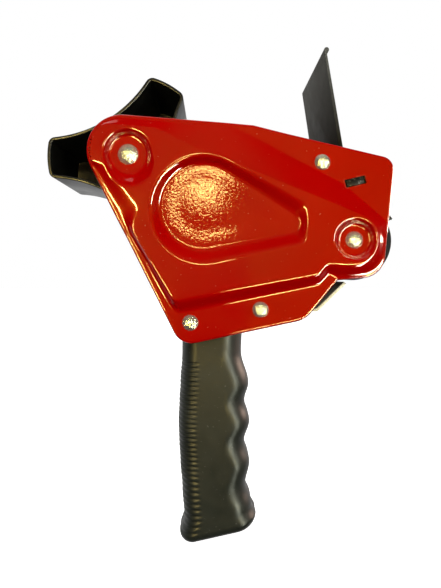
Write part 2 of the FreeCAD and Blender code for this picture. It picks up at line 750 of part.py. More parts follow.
def grip_yoke():
    """Wide head of one grip shell, between the plate and the middle plane."""
    back = (GRIP_SCREW_BACK[0], GRIP_SCREW_BACK[1], YOKE_RADIUS)
    front = (GRIP_SCREW_FRONT[0], GRIP_SCREW_FRONT[1], YOKE_RADIUS - 0.001)
    yoke = slab(hull_face(back, front, 0), -INNER_HALF, 0)
    floor = GUIDE_BACK[1] + GUIDE_THICK / 2
    nose = Part.makeBox(NOSE_FRONT - GRIP_SCREW_FRONT[0], INNER_HALF, NOSE_TOP - floor,
                        V(GRIP_SCREW_FRONT[0], -INNER_HALF, floor))
    return yoke.fuse(nose)


def grip_shell():
    """Near half of the hollow pistol grip with its yoke."""
    body = grip_body().fuse(grip_yoke())
    body = body.cut(slab(rounded_face(GRIP_HOLLOW, 0), -GRIP_HALF + GRIP_WALL, 0))
    for place in (GRIP_SCREW_BACK, GRIP_SCREW_FRONT):
        body = body.cut(cylinder(place, SCREW_RADIUS + BORE_GAP, -INNER_HALF, 0))
    pilot = V(GUIDE_SCREW_X, -GUIDE_SCREW_Y, GUIDE_BACK[1])
    body = body.cut(Part.makeCylinder(GUIDE_SCREW_RADIUS, GUIDE_SCREW_LENGTH, pilot))
    return body.removeSplitter()


def grip_near(shell):
    return shell.cut(cylinder(TIE_SCREW, TIE_SCREW_RADIUS, -TIE_DEPTH, 0))


def grip_far(shell):
    """Far half, counterbored for the tie screw."""
    far = mirrored(shell)
    far = far.cut(cylinder(TIE_SCREW, TIE_SCREW_RADIUS + BORE_GAP, 0, GRIP_HALF))
    return far.cut(cylinder(TIE_SCREW, TIE_HEAD_RADIUS + BORE_GAP, TIE_HEAD_SEAT, GRIP_HALF))


def grip_tie_screw():
    """Screw that closes the two shells near the butt."""
    screw = cylinder(TIE_SCREW, TIE_SCREW_RADIUS, -TIE_DEPTH, TIE_HEAD_SEAT)
    top = TIE_HEAD_SEAT + TIE_HEAD_HEIGHT
    head = cylinder(TIE_SCREW, TIE_HEAD_RADIUS, TIE_HEAD_SEAT, top)
    for length, height in ((RECESS_SPAN, RECESS_WIDTH), (RECESS_WIDTH, RECESS_SPAN)):
        head = head.cut(box_about(TIE_SCREW, length, height, top - RECESS_DEPTH, top, 0))
    return screw.fuse(head)


def main():
    os.makedirs("parts", exist_ok=True)
    shell = grip_shell()
    near_bushing = roller_bushing()
    nodes = {
        "side_plate": [side_plate()],
        "far_plate": [far_plate()],
        "plate_screws": [plate_screw(place) for place in PLATE_SCREWS],
        "plate_washers": [plate_washer(place) for place in PLATE_SCREWS],
        "plate_nuts": [plate_nut(place) for place in PLATE_SCREWS],
        "head_spacer": [head_spacer()],
        "hub_axle": [hub_axle()],
        "hub_washer": [hub_washer()],
        "tape_hub": [tape_hub()],
        "hub_bushing": [hub_bushing()],
        "brake_washer": [brake_washer()],
        "pressure_washer": [pressure_washer()],
        "disc_springs": disc_springs(),
        "tension_knob": [tension_knob()],
        "knob_insert": [knob_insert()],
        "roller_axle": [roller_axle()],
        "axle_nut": [axle_nut()],
        "roller_core": [roller_core()],
        "roller_sleeve": [roller_sleeve()],
        "roller_bushings": [near_bushing, mirrored(near_bushing)],
        "blade_holder": [blade_holder()],
        "cutter_blade": [cutter_blade()],
        "blade_rivets": blade_rivets(),
        "wiper_flap": [wiper_flap()],
        "wiper_pin": [wiper_pin()],
        "wiper_spring": [wiper_spring()],
        "tape_guide": [tape_guide()],
        "guide_screws": [guide_screw(-GUIDE_SCREW_Y), guide_screw(GUIDE_SCREW_Y)],
        "grip_near": [grip_near(shell)],
        "grip_far": [grip_far(shell)],
        "grip_tie_screw": [grip_tie_screw()],
    }
    for name, solids in nodes.items():
        save(name, solids)


main()
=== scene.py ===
import json
import math

import bmesh
import bpy
import numpy as np
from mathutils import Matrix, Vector
from mathutils.geometry import delaunay_2d_cdt


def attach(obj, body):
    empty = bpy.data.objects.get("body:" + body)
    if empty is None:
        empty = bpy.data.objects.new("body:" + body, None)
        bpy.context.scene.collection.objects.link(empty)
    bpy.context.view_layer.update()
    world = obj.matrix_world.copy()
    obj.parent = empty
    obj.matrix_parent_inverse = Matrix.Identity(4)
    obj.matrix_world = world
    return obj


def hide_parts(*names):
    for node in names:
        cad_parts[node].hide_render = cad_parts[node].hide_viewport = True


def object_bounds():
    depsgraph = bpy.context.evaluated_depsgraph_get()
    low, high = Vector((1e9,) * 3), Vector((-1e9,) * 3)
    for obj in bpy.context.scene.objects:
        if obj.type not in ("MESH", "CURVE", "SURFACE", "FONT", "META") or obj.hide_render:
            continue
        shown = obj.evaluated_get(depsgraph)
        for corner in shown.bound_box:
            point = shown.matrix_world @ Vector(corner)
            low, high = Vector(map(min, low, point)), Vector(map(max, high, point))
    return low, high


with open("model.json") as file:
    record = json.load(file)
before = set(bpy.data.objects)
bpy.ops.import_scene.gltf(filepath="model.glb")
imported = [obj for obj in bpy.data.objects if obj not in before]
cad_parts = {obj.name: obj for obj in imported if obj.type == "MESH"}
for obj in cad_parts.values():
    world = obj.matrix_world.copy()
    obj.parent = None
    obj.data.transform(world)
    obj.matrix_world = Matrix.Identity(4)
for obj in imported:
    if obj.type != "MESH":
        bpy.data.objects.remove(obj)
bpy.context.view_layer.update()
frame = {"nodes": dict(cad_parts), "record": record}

# Shapes are drawn in millimetres, x to the roller, z up, y across the tape, and made in metres.
MM = 0.001
NODES = frame["nodes"]
BODY_OF = {}
for body, members in frame["record"]["behaviour"]["bodies"].items():
    for member in members:
        BODY_OF[member] = body
SLOT_OF = {part["node"]: part["material_slot"] for part in frame["record"]["subparts"]}


# ---- materials ----
CLOUDS = (0.3, 0.7)  # the range of a noise that gives soft, cloudy patches


class Shader:
    """A material being built from nodes, with its surface shader and object coordinates."""

    def __init__(self, name):
        self.material = bpy.data.materials.new(name)
        self.material.use_nodes = True
        self.tree = self.material.node_tree
        self.surface = self.tree.nodes["Principled BSDF"]
        self.place = self.add("ShaderNodeTexCoord").outputs["Object"]

    def add(self, kind, inputs=None, **settings):
        node = self.tree.nodes.new(kind)
        for key, value in settings.items():
            setattr(node, key, value)
        for key, value in (inputs or {}).items():
            self.feed(node.inputs[key], value)
        return node

    def feed(self, socket, value):
        if isinstance(value, bpy.types.NodeSocket):
            self.tree.links.new(value, socket)
        else:
            socket.default_value = value

    def stretched(self, scale):
        """Object coordinates scaled by a vector."""
        return self.add("ShaderNodeMapping", {"Vector": self.place, "Scale": scale}).outputs[0]

    def noise(self, size_mm, detail=3.0, roughness=0.5, vector=None):
        """Noise whose features are about size_mm across, 0 to 1."""
        return self.add("ShaderNodeTexNoise", {
            "Vector": vector or self.place, "Scale": 1 / MM / size_mm, "Detail": detail,
            "Roughness": roughness}).outputs["Fac"]

    def between(self, value, low, high, to_low=0.0, to_high=1.0):
        """value mapped from low..high to to_low..to_high, clamped."""
        return self.add("ShaderNodeMapRange", {
            "Value": value, "From Min": low, "From Max": high,
            "To Min": to_low, "To Max": to_high}).outputs["Result"]

    def mix(self, share, first, second):
        """The first colour where share is 0, the second where it is 1."""
        node = self.add("ShaderNodeMix", data_type="RGBA")
        self.feed(node.inputs[0], share)
        self.feed(node.inputs[6], first)
        self.feed(node.inputs[7], second)
        return node.outputs[2]

    def maths(self, operation, first, second):
        node = self.add("ShaderNodeMath", operation=operation)
        self.feed(node.inputs[0], first)
        self.feed(node.inputs[1], second)
        return node.outputs[0]

    def level(self):
        """Height in the object's own frame, in mm."""
        split = self.add("ShaderNodeSeparateXYZ", {"Vector": self.place})
        return self.maths("MULTIPLY", split.outputs["Z"], 1 / MM)

    def attribute(self, name):
        """A number that the mesh carries at its points."""
        return self.add("ShaderNodeAttribute", attribute_name=name).outputs["Fac"]

    def edges(self):
        """1 on convex edges."""
        point = self.add("ShaderNodeNewGeometry").outputs["Pointiness"]
        return self.between(point, 0.52, 0.62)

    def edge_highlight_mask(self):
        """1 where the surface faces along Y: a sheet's edges, which take a painted highlight."""
        normal = self.add("ShaderNodeNewGeometry").outputs["True Normal"]
        split = self.add("ShaderNodeSeparateXYZ", {"Vector": normal})
        return self.between(self.maths("ABSOLUTE", split.outputs["Y"], 0.0), 0.8, 0.95)

    def shaded_hollows(self):
        """1 in concave corners, where painted shade darkens the colour."""
        point = self.add("ShaderNodeNewGeometry").outputs["Pointiness"]
        return self.between(point, 0.38, 0.47, 0.8, 0.0)

    def bump(self, height, depth_mm, after=None):
        """Normal for a height of 0 to 1 that is depth_mm deep, on top of another normal."""
        inputs = {"Height": height, "Strength": 1.0, "Distance": depth_mm * MM}
        if after is not None:
            inputs["Normal"] = after
        return self.add("ShaderNodeBump", inputs).outputs["Normal"]

    def finish(self, **sockets):
        """Set the surface's sockets, named with _ for a space, and give the material."""
        for key, value in sockets.items():
            self.feed(self.surface.inputs[key.replace("_", " ")], value)
        return self.material


def grey(level, warm=1.0, green=1.0):
    """A grey colour with its red and green raised or lowered."""
    return (level * warm, level * green, level, 1.0)


ENAMEL = ((0.43, 0.0, 0.0, 1), (0.48, 0.0, 0.0, 1))
RUBBED_ENAMEL = (0.62, 0.16, 0.08, 1)
ENAMEL_SPECK = (0.75, 0.30, 0.24, 1)
WARM_REFLECTION = (1.0, 0.50, 0.06, 1)
# Colour of grime, also used for the painted shade in the concave corners of metal.
GRIME_AND_SHADE = (0.132, 0.126, 0.12, 1)
# Dark colour of the painted shade on the lower part of a plastic part.
PAINTED_LOW_SHADE = (0.012, 0.009, 0.004, 1)
DUST = (0.30, 0.29, 0.26, 1)


def red_enamel():
    """Baked gloss enamel: fine orange peel, coarser in the panel, faint mottling and dust."""
    s = Shader("red_enamel")
    mottle = s.between(s.noise(34.0, 2.0), *CLOUDS)
    colour = s.mix(mottle, *ENAMEL)
    worn = s.maths("MULTIPLY", s.edges(), s.between(s.noise(3.0, 4.0), 0.5, 0.62))
    colour = s.mix(s.maths("MULTIPLY", worn, 0.5), colour, RUBBED_ENAMEL)
    specks = s.between(s.noise(1.1, 1.0), 0.76, 0.80, 0.0, 0.35)
    colour = s.mix(specks, colour, ENAMEL_SPECK)
    panel = s.attribute("panel")
    peel = s.bump(s.maths("MULTIPLY", s.noise(2.2, 1.0), s.between(panel, 0.0, 1.0, 1.0, 0.3)),
                  0.012)
    grain = s.maths("MULTIPLY", s.noise(1.1, 2.0), panel)
    normal = s.bump(grain, 0.050, peel)
    rough = s.between(s.noise(14.0, 3.0), *CLOUDS, 0.17, 0.23)
    return s.finish(Base_Color=colour, Roughness=rough, Normal=normal, Coat_Weight=1.0,
                    Coat_Roughness=0.06, Coat_Normal=normal, Specular_IOR_Level=0.16,
                    Specular_Tint=WARM_REFLECTION)


def metal(name, light, dark, rough, brush=(1.0, 0.12, 1.0), patch_mm=6.0, pit_mm=0.02,
          bare=1.0, edge_highlight=None):
    """Bare or plated metal with cloudy tone, fine scratches, duller worn patches, grime and
    painted shade in hollows.

    brush squeezes the scratches along an axis, bare is the metallic share, and the last is the
    colour of a painted highlight on faces along Y, a folded sheet's edges."""
    s = Shader(name)
    tone = s.between(s.noise(patch_mm, 4.0, 0.6), 0.35, 0.65)
    scratch = s.noise(0.5, 4.0, 0.7, s.stretched(brush))
    tone = s.maths("MULTIPLY", tone, s.between(scratch, 0.25, 0.6, 0.5, 1.0))
    colour = s.mix(tone, dark, light)
    roughness = s.between(s.noise(patch_mm * 0.7, 5.0, 0.7), *CLOUDS, rough * 0.75, rough * 1.5)
    normal = s.bump(scratch, pit_mm)
    # Painted highlight: faces along Y, the sheet's edges, are painted paler as if lit.
    if edge_highlight:
        colour = s.mix(s.edge_highlight_mask(), colour, edge_highlight)
    grime = s.between(s.noise(0.9, 3.0), 0.56, 0.64, 0.0, 0.6)
    # Random grime patches, and painted shade in concave corners, take one dark colour.
    colour = s.mix(s.maths("MAXIMUM", s.shaded_hollows(), grime), colour, GRIME_AND_SHADE)
    return s.finish(Base_Color=colour, Metallic=bare, Roughness=roughness, Normal=normal)


def plastic(name, colour, worn, rough, grain_mm, depth_mm, patch_mm=18.0, dust=0.15,
            level=0.5, shade_fade_mm=None):
    """Moulded plastic or rubber: fine grain, uneven sheen, paler rubbed edges and dust.

    level is the specular level, and the last is the heights between which painted shade fades
    out upwards."""
    s = Shader(name)
    patch = s.between(s.noise(patch_mm, 3.0, 0.6), *CLOUDS)
    tone = s.mix(s.maths("MULTIPLY", patch, 0.5), colour, worn)
    tone = s.mix(s.maths("MULTIPLY", s.edges(), 0.5), tone, worn)
    # Painted shade: darker towards the bottom and fading out upwards, standing in for reflected
    # light on the upper part.
    if shade_fade_mm:
        tone = s.mix(s.between(s.level(), *shade_fade_mm), PAINTED_LOW_SHADE, tone)
    specks = s.between(s.noise(1.4, 2.0), 0.70, 0.76, 0.0, dust)
    tone = s.mix(specks, tone, DUST)
    normal = s.bump(s.noise(grain_mm, 3.0, 0.6), depth_mm)
    roughness = s.between(s.noise(patch_mm * 0.4, 4.0), *CLOUDS, rough * 0.85, rough * 1.15)
    return s.finish(Base_Color=tone, Roughness=roughness, Normal=normal,
                    Specular_IOR_Level=level)


MATERIALS = {
    "red_enamel": red_enamel(),
    "zinc_steel": metal("zinc_steel", grey(0.62), grey(0.40), 0.30),
    "bright_zinc": metal("bright_zinc", (0.98, 0.99, 0.84, 1), (0.55, 0.56, 0.42, 1), 0.16,
                         patch_mm=0.9, pit_mm=0.3, bare=0.75),
    # Its faces along Y, the guide's edges, take a pale painted highlight.
    "yellow_zinc": metal("yellow_zinc", (0.17, 0.16, 0.11, 1), (0.08, 0.075, 0.05, 1), 0.42,
                         bare=0.2, edge_highlight=(0.62, 0.58, 0.42, 1)),
    "blackened_steel": metal("blackened_steel", grey(0.030), grey(0.014), 0.50),
    "blade_steel": metal("blade_steel", grey(0.70), grey(0.45), 0.22, (0.1, 1.0, 0.1)),
    "black_hub_plastic": plastic("black_hub_plastic", grey(0.004, 1.1, 1.15),
                                 grey(0.012, 1.15, 1.2), 0.34, 0.8, 0.02, level=0.45),
    "black_grip_plastic": plastic("black_grip_plastic", (0.0145, 0.0172, 0.0125, 1),
                                  (0.031, 0.035, 0.027, 1), 0.44, 0.7, 0.03, level=0.32),
    # The flap is painted darker low down and lighter above, a painted reflection gradient.
    "flap_plastic": plastic("flap_plastic", (0.105, 0.104, 0.092, 1), (0.135, 0.133, 0.118, 1),
                            0.55, 1.2, 0.02, level=0.03, shade_fade_mm=(6.0, 44.0)),
    "core_plastic": plastic("core_plastic", grey(0.62, 1.0, 0.99), grey(0.75, 1.0, 1.0), 0.5,
                            0.9, 0.02),
    "black_rubber": plastic("black_rubber", grey(0.010), grey(0.022), 0.75, 0.6, 0.05,
                            dust=0.10, level=0.10),
    "acetal": plastic("acetal", grey(0.72, 1.0, 0.98), grey(0.82), 0.35, 0.9, 0.01),
    "brake_fibre": plastic("brake_fibre", (0.30, 0.10, 0.04, 1), (0.42, 0.19, 0.10, 1), 0.7,
                           0.5, 0.05),
    "brass": metal("brass", (0.78, 0.60, 0.28, 1), (0.55, 0.38, 0.15, 1), 0.25),
    "spring_steel": metal("spring_steel", grey(0.48), grey(0.25), 0.28),
}


# ---- making pieces ----
def linked(name, data):
    """A new object in the scene for a mesh, curve, lamp or camera."""
    thing = bpy.data.objects.new(name, data)
    bpy.context.scene.collection.objects.link(thing)
    return thing


def add_mesh(name, mesh, body, slot):
    """Put a mesh, in metres in the row frame, into the scene on a body."""
    mesh.materials.clear()
    mesh.materials.append(MATERIALS[slot])
    piece = linked(name, mesh)
    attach(piece, body)
    return piece


def add_piece(name, mesh, nodes, sharp_degrees=35.0):
    """Put a smooth-shaded mesh into the scene in place of its CAD nodes."""
    mesh.shade_smooth()
    mesh.set_sharp_from_angle(angle=math.radians(sharp_degrees))
    piece = add_mesh(name, mesh, BODY_OF[nodes[0]], SLOT_OF[nodes[0]])
    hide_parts(*nodes)


def mesh_of(name, points, faces):
    """Mesh from points in millimetres."""
    mesh = bpy.data.meshes.new(name)
    mesh.from_pydata([(x * MM, y * MM, z * MM) for x, y, z in points], [], faces)
    mesh.validate()
    mesh.update()
    return mesh


def outward(mesh):
    """The mesh with all its faces turned outward."""
    bm = bmesh.new()
    bm.from_mesh(mesh)
    bmesh.ops.recalc_face_normals(bm, faces=bm.faces)
    bm.to_mesh(mesh)
    bm.free()
    return mesh


def evaluated(holder):
    """The final mesh of an object, which is then removed."""
    bpy.context.view_layer.update()
    graph = bpy.context.evaluated_depsgraph_get()
    result = bpy.data.meshes.new_from_object(holder.evaluated_get(graph))
    bpy.data.objects.remove(holder)
    return result


def with_modifier(mesh, kind, **settings):
    """The mesh after one modifier."""
    holder = linked("holder", mesh)
    modifier = holder.modifiers.new(kind, kind)
    for key, value in settings.items():
        setattr(modifier, key, value)
    return evaluated(holder)


def bevelled(mesh, radius_mm, segments, sharp_degrees):
    """The mesh with its sharp edges rounded."""
    return with_modifier(mesh, "BEVEL", width=radius_mm * MM, segments=segments,
                         limit_method="ANGLE", angle_limit=math.radians(sharp_degrees))


SOFT_NAME = "{}_soft.001"
# Points nearer than this are joined into one, and faces flatter than this into one face.
WELD_MM = 0.002
FLAT_DEGREES = 0.6


def softened(node, radius_mm):
    """Put the node's own shape into the scene with its sharp edges rounded."""
    bm = bmesh.new()
    bm.from_mesh(NODES[node].data)
    bmesh.ops.remove_doubles(bm, verts=bm.verts, dist=WELD_MM * MM)
    bmesh.ops.dissolve_limit(bm, angle_limit=math.radians(FLAT_DEGREES), verts=bm.verts,
                             edges=bm.edges, use_dissolve_boundaries=False)
    mesh = bpy.data.meshes.new(node)
    bm.to_mesh(mesh)
    bm.free()
    mesh = bevelled(mesh, radius_mm, segments=2, sharp_degrees=32)
    add_piece(SOFT_NAME.format(node), mesh, [node])


LEAST_RADIUS = 0.05
LOOP_STEPS = 72


def corner_loop(corners, inset=0.0, arc_degrees=7.0, run=1.5):
    """Points round a polygon of x, z, radius corners, drawn clockwise and moved inwards.

    A step is at most arc_degrees round a corner and run along a side."""
    count = len(corners)
    arcs = []
    for index, (x, z, radius) in enumerate(corners):
        here = Vector((x, z))
        before = (Vector(corners[index - 1][:2]) - here).normalized()
        after = (Vector(corners[(index + 1) % count][:2]) - here).normalized()
        half = before.angle(after) / 2
        side = 1 if before.x * after.y - before.y * after.x > 0 else -1
        bisector = (before + after).normalized()
        corner = here + bisector * (side * inset / math.sin(half))
        radius = max(radius - side * inset, LEAST_RADIUS)
        centre = corner + bisector * (radius / math.sin(half))
        start = corner + before * (radius / math.tan(half)) - centre
        end = corner + after * (radius / math.tan(half)) - centre
        first = math.atan2(start.y, start.x)
        sweep = math.atan2(end.y, end.x) - first
        sweep = (sweep + math.pi) % (2 * math.pi) - math.pi
        steps = max(2, math.ceil(abs(math.degrees(sweep)) / arc_degrees))
        arcs.append([centre + radius * Vector((math.cos(first + sweep * k / steps),
                                               math.sin(first + sweep * k / steps)))
                     for k in range(steps + 1)])
    points = []
    for index, arc in enumerate(arcs):
        points += arc
        gap = arcs[(index + 1) % count][0] - arc[-1]
        steps = max(1, math.ceil(gap.length / run))
        points += [arc[-1] + gap * (k / steps) for k in range(1, steps)]
    return np.array([tuple(point) for point in points])


def hull_loop(*circles):
    """Points round the hull of circles given as x, z, radius."""
    cloud = []
    for x, z, radius in circles:
        for step in range(LOOP_STEPS):
            angle = 2 * math.pi * step / LOOP_STEPS
            cloud.append((x + radius * math.cos(angle), z + radius * math.sin(angle)))
    cloud.sort()
    chains = []
    for points in (cloud, cloud[::-1]):
        chain = []
        for point in points:
            while len(chain) > 1:
                (ax, az), (bx, bz) = chain[-2:]
                if (bx - ax) * (point[1] - az) - (bz - az) * (point[0] - ax) > 0:
                    break
                chain.pop()
            chain.append(point)
        chains += chain[:-1]
    return np.array(chains)


def depth_inside(points, loop):
    """Distance from each x, z point to a closed loop, positive inside."""
    best = np.full(len(points), np.inf)
    inside = np.zeros(len(points), bool)
    x, z = points[:, 0], points[:, 1]
    for (ax, az), (bx, bz) in zip(loop, np.roll(loop, -1, axis=0)):
        dx, dz = bx - ax, bz - az
        length = dx * dx + dz * dz
        if length == 0:
            continue
        t = np.clip(((x - ax) * dx + (z - az) * dz) / length, 0, 1)
        best = np.minimum(best, np.hypot(x - ax - t * dx, z - az - t * dz))
        if dz != 0:
            crosses = (az > z) != (bz > z)
            inside ^= crosses & (x < ax + (z - az) / dz * dx)
    return np.where(inside, best, -best)


def smooth(t):
    """t held between 0 and 1, with a soft start and end."""
    t = np.clip(t, 0, 1)
    return t * t * (3 - 2 * t)


def wall_share(points, outer, inner):
    """0 outside the outer loop, 1 inside the inner one, and an even rise between."""
    in_outer = np.maximum(depth_inside(points, outer), 0)
    to_inner = np.maximum(-depth_inside(points, inner), 0)
    return in_outer / np.maximum(in_outer + to_inner, 1e-9)


def wall(points, outer, inner):
    """The same with a soft foot and crest."""
    return smooth(wall_share(points, outer, inner))


# ---- pressed side plate: corners are x, z, radius, and loops run clockwise ----
SHEET = 1.2
FLANGE_Y = -28.2
EMBOSS = 3.0
EDGE_RADIUS = 0.9
# Rings of points inside the outline, in edge radii, that carry the rounded edge.
EDGE_RINGS = (0.03, 0.13, 0.30, 0.55, 0.85, 1.3)
# Steps round the outline: degrees at a corner, mm along a side.
OUTLINE_STEPS = (5.0, 0.8)
PLATE_OUTLINE = [
    (-29.9, 20.1, 16.1), (57.6, 13.2, 3.0), (122.4, -2.1, 6.0), (117.4, -56.0, 11.0),
    (96.1, -57.9, 0.0), (81.5, -76.0, 12.0), (24.2, -88.2, 9.2),
]
# Foot and crest of the wall round the raised field.
FIELD_FOOT = [
    (-28.6, 18.7, 15.0), (50.0, 11.5, 40.0), (98.5, -13.5, 30.0), (119.2, -31.5, 5.0),
    (117.0, -55.6, 13.0), (96.2, -57.4, 2.0), (92.1, -55.0, 1.2), (87.6, -60.2, 2.5),
    (21.5, -73.6, 5.0),
]
FIELD_CREST = [
    (-23.6, 14.4, 11.0), (13.0, 11.0, 14.0), (34.0, 0.6, 22.0), (112.6, -31.0, 9.0),
    (113.4, -50.1, 10.2), (90.2, -50.1, 2.0), (86.9, -54.7, 2.0), (21.3, -66.9, 2.5),
    (1.2, -33.6, 7.0), (7.0, -25.0, 6.0), (-11.0, -4.6, 5.0), (-19.4, -3.6, 4.0),
]
# Circles, as x, z, radius, whose hulls are the crest and foot of the panel's wall.
PANEL_CREST = [(34.9, -25.9, 25.3), (76.9, -37.5, 4.9), (77.3, -25.8, 5.0)]
PANEL_FOOT = [(34.4, -23.8, 18.8), (75.7, -32.0, 3.2)]
# A dimple is the circles whose hull is its crest, and the radius of its foot.
HUB_PLACE = (0.0, 0.0)
HUB_DIMPLE = ([(0.0, 0.0, 11.2), (1.5, -5.0, 11.2)], 8.2)
AXLE_PLACE = (103.7, -39.3)
AXLE_DIMPLE = ([(103.7, -39.3, 9.9)], 6.7)
SLOT_PLACE = (104.3, -12.6)
SLOT_SIZE = (9.7, 3.7)
SLOT_CORNER = 0.5
SLOT_SLOPE = 13.0
# Round the hub and along the top the wall is shallower. This fades out downwards and to the
# right, between these z and x.
SHALLOW_Z = (-42.0, -28.0)
SHALLOW_X = (40.0, 80.0)
SHALLOW_SHARE = 0.5
# Above this line the wall is a straight ramp up to the plate's edge: start x and z, fall per
# x, and width of the change.
TOP_LINE = (34.0, -5.4, 0.40, 4.0)
RAMP_ROUND = 0.07
# The panel's floor is dished: its rim stands up a little.
DISH_RISE = 0.28
DISH_WIDTH = 9.0
# Between the rings the plate is filled with a triangular grid, clear of the rings and the slot.
GRID = 0.7
GRID_CLEAR_OF_EDGE = 1.7 * EDGE_RADIUS
GRID_CLEAR_OF_SLOT = 0.25


def circle_loop(place, radius, steps=LOOP_STEPS):
    turn = np.linspace(0, 2 * math.pi, steps, endpoint=False)
    return np.stack([place[0] + radius * np.cos(turn), place[1] + radius * np.sin(turn)], 1)


def turned(points, degrees, place):
    """Points turned anticlockwise about 0, 0 and then moved to a place."""
    angle = math.radians(degrees)
    x = points[:, 0] * math.cos(angle) - points[:, 1] * math.sin(angle)
    z = points[:, 0] * math.sin(angle) + points[:, 1] * math.cos(angle)
    return np.stack([x + place[0], z + place[1]], 1)


def box_corners(size):
    """Corners of an upright rectangle about 0, 0, clockwise from the top left."""
    x, z = size[0] / 2, size[1] / 2
    return np.array([(-x, z), (x, z), (x, -z), (-x, -z)])


def slot_loop():
    corners = [(x, z, SLOT_CORNER) for x, z in box_corners(SLOT_SIZE)]
    loop = corner_loop(corners, arc_degrees=22.0, run=1.0)
    return turned(loop, SLOT_SLOPE, SLOT_PLACE)


def relief(points):
    """Height of the pressing above the flange, and 1 on the panel's floor, 0 off it."""
    share = wall_share(points, corner_loop(FIELD_FOOT), corner_loop(FIELD_CREST))
    line = TOP_LINE[1] - TOP_LINE[2] * np.maximum(points[:, 0] - TOP_LINE[0], 0)
    top = smooth((points[:, 1] - line) / TOP_LINE[3])
    ramp = 1 + RAMP_ROUND - np.hypot(1 - share, RAMP_ROUND)
    field = smooth(share) * (1 - top) + ramp * top
    shallow = smooth((points[:, 1] - SHALLOW_Z[0]) / (SHALLOW_Z[1] - SHALLOW_Z[0]))
    shallow = np.maximum(shallow, top)
    shallow *= smooth((SHALLOW_X[1] - points[:, 0]) / (SHALLOW_X[1] - SHALLOW_X[0]))
    height = EMBOSS * (1 - (1 - field) * (1 - SHALLOW_SHARE * shallow))
    bottom = hull_loop(*PANEL_FOOT)
    floor = wall(points, hull_loop(*PANEL_CREST), bottom)
    dish = DISH_RISE * (1 - smooth(depth_inside(points, bottom) / DISH_WIDTH))
    height += (dish - height) * floor
    for place, (outer, inner) in ((HUB_PLACE, HUB_DIMPLE), (AXLE_PLACE, AXLE_DIMPLE)):
        height *= 1 - wall(points, hull_loop(*outer), circle_loop(place, inner))
    return np.maximum(height, 0), floor


def grid_points(outline, slot):
    """Rows of points over the plate, every other row half a step along."""
    low, high = outline.min(0), outline.max(0)
    rows = []
    z = low[1]
    while z < high[1]:
        x = np.arange(low[0] + (len(rows) % 2) * GRID / 2, high[0], GRID)
        rows.append(np.stack([x, np.full(len(x), z)], 1))
        z += GRID * math.sqrt(0.75)
    grid = np.concatenate(rows)
    grid = grid[depth_inside(grid, outline) > GRID_CLEAR_OF_EDGE]
    return grid[depth_inside(grid, slot) < -GRID_CLEAR_OF_SLOT]


def flat_plate(outline, slot):
    """The plate's flat pattern: x, z points, and triangles between outline and slot."""
    rings = [corner_loop(PLATE_OUTLINE, EDGE_RADIUS * share, *OUTLINE_STEPS)
             for share in EDGE_RINGS]
    flat = np.concatenate([outline, slot] + rings + [grid_points(outline, slot)])
    edges = []
    for start, loop in ((0, outline), (len(outline), slot)):
        edges += [(start + k, start + (k + 1) % len(loop)) for k in range(len(loop))]
    found = delaunay_2d_cdt([Vector(p) for p in flat.tolist()], edges, [], 0, 1e-5)
    points = np.array([tuple(p) for p in found[0]])
    faces = np.array([face for face in found[2] if len(face) == 3])
    middle = points[faces].mean(1)
    return points, faces[(depth_inside(middle, outline) > 0) & (depth_inside(middle, slot) < 0)]


def rim_edges(faces):
    """Edges that only one triangle has, in its direction."""
    rim = {}
    for a, b, c in faces:
        for edge in ((a, b), (b, c), (c, a)):
            if edge[::-1] in rim:
                del rim[edge[::-1]]
            else:
                rim[edge] = True
    return list(rim)


def pressed_plate():
    """The sheet with its relief: a front skin, a back skin and the sides between them."""
    outline = corner_loop(PLATE_OUTLINE, 0.0, *OUTLINE_STEPS)
    points, faces = flat_plate(outline, slot_loop())
    height, floor = relief(points)
    inset = np.clip(depth_inside(points, outline), 0, EDGE_RADIUS)
    drop = EDGE_RADIUS - np.sqrt(EDGE_RADIUS ** 2 - (EDGE_RADIUS - inset) ** 2)
    front = np.stack([points[:, 0], FLANGE_Y - height + drop, points[:, 1]], 1)
    back = front.copy()
    back[:, 1] = FLANGE_Y - height + SHEET
    count = len(points)
    skins = np.concatenate([faces, faces[:, ::-1] + count]).tolist()
    sides = [(int(b), int(a), int(a) + count, int(b) + count) for a, b in rim_edges(faces)]
    mesh = outward(mesh_of("side_plate_pressed", np.concatenate([front, back]).tolist(),
                           skins + sides))
    # The enamel's coarser grain fades out over the lowest third of the panel's wall.
    attribute = mesh.attributes.new("panel", "FLOAT", "POINT")
    attribute.data.foreach_set("value", np.tile(smooth(floor * 3 - 2), 2).astype(np.float32))
    add_piece("side_plate_pressed", mesh, ["side_plate"], sharp_degrees=50.0)


pressed_plate()

# ---- pistol grip ----
GRIP_HALF = 14.5
# Going down the grip: z, back x, front x, and how hollow the front is for a finger.
GRIP_LEVELS = [
    (-80.0, 23.4, 53.9, 0.6), (-94.0, 23.3, 53.4, 0.9), (-110.2, 22.3, 57.1, 0.0),
    (-118.8, 21.8, 55.1, 1.0), (-129.3, 21.4, 57.6, 0.0), (-139.4, 21.7, 55.0, 1.0),
    (-150.1, 22.3, 57.6, 0.0), (-161.3, 23.3, 55.6, 0.9), (-172.3, 24.3, 58.6, 0.4),
    (-180.4, 21.6, 61.4, 0.0), (-185.0, 20.6, 60.0, 0.0), (-194.0, 20.4, 52.0, 0.0),
]
# Corner radii of a level section: at the back, at the front, added there in a hollow, and
# across the grip.
BACK_ROUND = 8.0
FRONT_ROUND = 9.5
HOLLOW_ROUND = 1.5
SIDE_ROUND = 10.5
ARC_STEPS = 14
FLAT_STEPS = 16
FACE_STEPS = 4
BUTT_STEPS = 8
# The butt slants about BUTT_X, from BUTT_START down.
BUTT_X = 53.0
BUTT_Z = -183.0
BUTT_SLOPE = 13.5
BUTT_ROUND = 5.0
BUTT_TURN = 88.0
BUTT_START = -150.0
